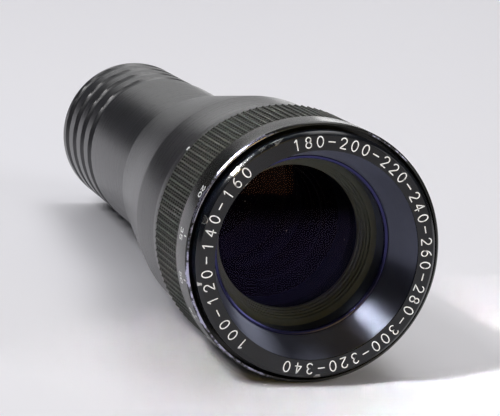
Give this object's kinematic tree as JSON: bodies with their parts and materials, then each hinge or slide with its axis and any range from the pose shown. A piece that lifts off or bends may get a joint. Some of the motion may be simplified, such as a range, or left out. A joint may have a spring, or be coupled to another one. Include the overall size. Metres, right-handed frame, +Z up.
{
  "type": "projection lens",
  "caption": "Slide projector zoom lens with a grooved rear barrel, tapered body, knurled zoom ring and a front group that slides out as the ring turns.",
  "frame": {"origin": "centre of the rear barrel where it leaves the body's shoulder", "axes": "+Y along the optical axis towards the rear of the lens, so that the front looks towards -Y; +Z up as the lens lies, with the index mark to the upper left as seen from the front"},
  "size_m": [0.076, 0.213, 0.076],
  "materials": {
    "barrel_anodised": "satin black anodised, turned",
    "body_anodised": "satin black anodised, turned",
    "ring_anodised": "satin black anodised, worn at the rim",
    "grip_rubber": "ribbed, dusty matt",
    "name_ring_black": "glossy black anodised",
    "cell_black": "finely grooved black anodised",
    "ring_violet": "glossy violet-black",
    "inner_black": "matt black",
    "tube_plain": "turned",
    "cam_bronze": "greased, turned",
    "roller_brass": "turned",
    "screw_steel": "plain",
    "front_coated_glass": "polished, multi-coated",
    "inner_optic": "polished, coated"
  },
  "bodies": {
    "root": {"rear_barrel": "barrel_anodised", "body_shell": "body_anodised", "guide_tube": "tube_plain", "cam_trap_ring": "tube_plain", "light_stop": "inner_black", "rear_cell": "inner_black", "rear_retaining_ring": "inner_black", "rear_glass": "inner_optic", "rear_spacer": "inner_black", "second_rear_glass": "inner_optic"},
    "zoom_ring": {"zoom_ring": "ring_anodised", "grip_band": "grip_rubber", "cam_tube": "cam_bronze", "drive_screws": "screw_steel"},
    "front_group": {"name_ring": "name_ring_black", "front_cell": "cell_black", "front_retaining_ring": "ring_violet", "front_glass": "front_coated_glass", "front_spacer": "inner_black", "crown_glass": "inner_optic", "flint_glass": "inner_optic", "front_rollers": "roller_brass", "front_roller_screws": "screw_steel"},
    "inner_group": {"inner_cell": "inner_black", "inner_retaining_ring": "inner_black", "hollow_glass": "inner_optic", "inner_spacer": "inner_black", "meniscus_glass": "inner_optic", "inner_rollers": "roller_brass", "inner_roller_screws": "screw_steel"}
  },
  "joints": [
    {"name": "zoom_turn", "type": "hinge", "parent": "root", "child": "zoom_ring", "pos_m": [0, -0.09, 0], "axis": [0, 1, 0], "range_deg": [0, 85]},
    {"name": "front_slide", "type": "slide", "parent": "root", "child": "front_group", "axis": [0, -1, 0], "range_m": [0, 0.012]},
    {"name": "inner_slide", "type": "slide", "parent": "root", "child": "inner_group", "axis": [0, 1, 0], "range_m": [0, 0.009]}
  ],
  "couplings": [
    {"joint": "front_slide", "follows": "zoom_turn", "m_per_rad": 0.0080888},
    {"joint": "inner_slide", "follows": "zoom_turn", "m_per_rad": 0.0060666}
  ]
}
